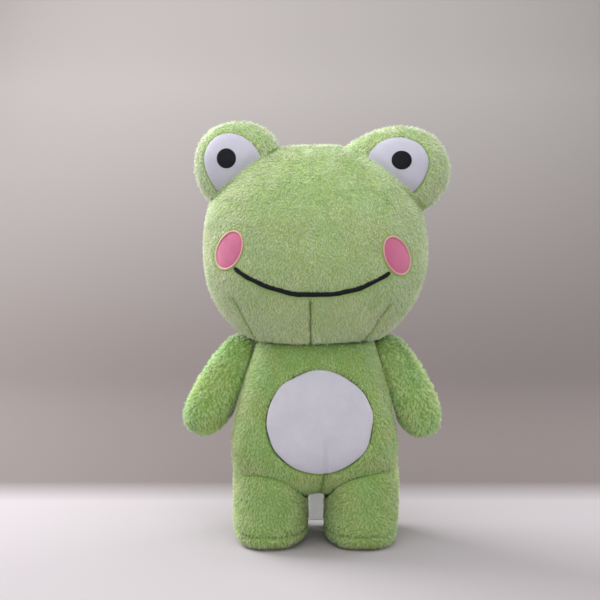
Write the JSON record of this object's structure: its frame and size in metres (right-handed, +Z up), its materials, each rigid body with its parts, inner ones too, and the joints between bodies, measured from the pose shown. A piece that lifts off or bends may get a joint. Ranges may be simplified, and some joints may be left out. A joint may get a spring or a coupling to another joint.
{
  "type": "plush frog",
  "caption": "Free-standing stuffed frog with a wide round head, raised eyes, a white belly disc, mitten arms and short legs.",
  "frame": {"origin": "on the floor under the middle of the standing frog", "axes": "+Z up, the frog faces -Y, +X to the right of someone who looks at its face"},
  "size_m": [0.2188, 0.147, 0.347],
  "materials": {
    "pale_green_plush": "matte",
    "green_plush": "matte",
    "white_velour": "matte",
    "black_stitching": "matte",
    "pink_velour": "matte",
    "cheek_border_thread": "matte",
    "fibre_stuffing": "matte",
    "white_ribbon": "matte"
  },
  "bodies": {
    "body": {"body_front_left_panel": "green_plush", "body_front_right_panel": "green_plush", "body_back_panel": "green_plush", "belly_disc": "white_velour", "body_stuffing": "fibre_stuffing", "care_label": "white_ribbon"},
    "head": {"head_face_panel": "pale_green_plush", "head_back_left_panel": "pale_green_plush", "head_back_right_panel": "pale_green_plush", "head_stuffing": "fibre_stuffing", "mouth_stitching": "black_stitching", "eye_bump_front_left": "green_plush", "eye_bump_front_right": "green_plush", "eye_bump_back_left": "green_plush", "eye_bump_back_right": "green_plush", "eye_bump_stuffing_left": "fibre_stuffing", "eye_bump_stuffing_right": "fibre_stuffing", "eye_white_left": "white_velour", "eye_white_right": "white_velour", "pupil_left": "black_stitching", "pupil_right": "black_stitching", "cheek_left": "pink_velour", "cheek_right": "pink_velour", "cheek_border_left": "cheek_border_thread", "cheek_border_right": "cheek_border_thread"},
    "arm_left": {"arm_front_left": "green_plush", "arm_back_left": "green_plush", "arm_stuffing_left": "fibre_stuffing"},
    "arm_right": {"arm_front_right": "green_plush", "arm_back_right": "green_plush", "arm_stuffing_right": "fibre_stuffing"},
    "leg_left": {"leg_front_left": "green_plush", "leg_back_left": "green_plush", "sole_left": "green_plush", "leg_stuffing_left": "fibre_stuffing"},
    "leg_right": {"leg_front_right": "green_plush", "leg_back_right": "green_plush", "sole_right": "green_plush", "leg_stuffing_right": "fibre_stuffing"}
  },
  "joints": [
    {"name": "neck_turn", "type": "hinge", "parent": "body", "child": "head", "pos_m": [0, 0, 0.1695], "axis": [0, 0, 1], "range_deg": [-25, 25], "stiffness_Nm_per_rad": 1.5},
    {"name": "shoulder_left", "type": "hinge", "parent": "body", "child": "arm_left", "pos_m": [-0.06382, 0, 0.15255], "axis": [0.9591, 0, -0.283], "range_deg": [-80, 45], "stiffness_Nm_per_rad": 0.5},
    {"name": "shoulder_right", "type": "hinge", "parent": "body", "child": "arm_right", "pos_m": [0.06382, 0, 0.15255], "axis": [0.9591, 0, 0.283], "range_deg": [-80, 45], "stiffness_Nm_per_rad": 0.5},
    {"name": "hip_left", "type": "hinge", "parent": "body", "child": "leg_left", "pos_m": [-0.0381, 0, 0.09], "axis": [1, 0, 0], "range_deg": [-45, 15], "stiffness_Nm_per_rad": 12},
    {"name": "hip_right", "type": "hinge", "parent": "body", "child": "leg_right", "pos_m": [0.0381, 0, 0.09], "axis": [1, 0, 0], "range_deg": [-45, 15], "stiffness_Nm_per_rad": 12}
  ]
}
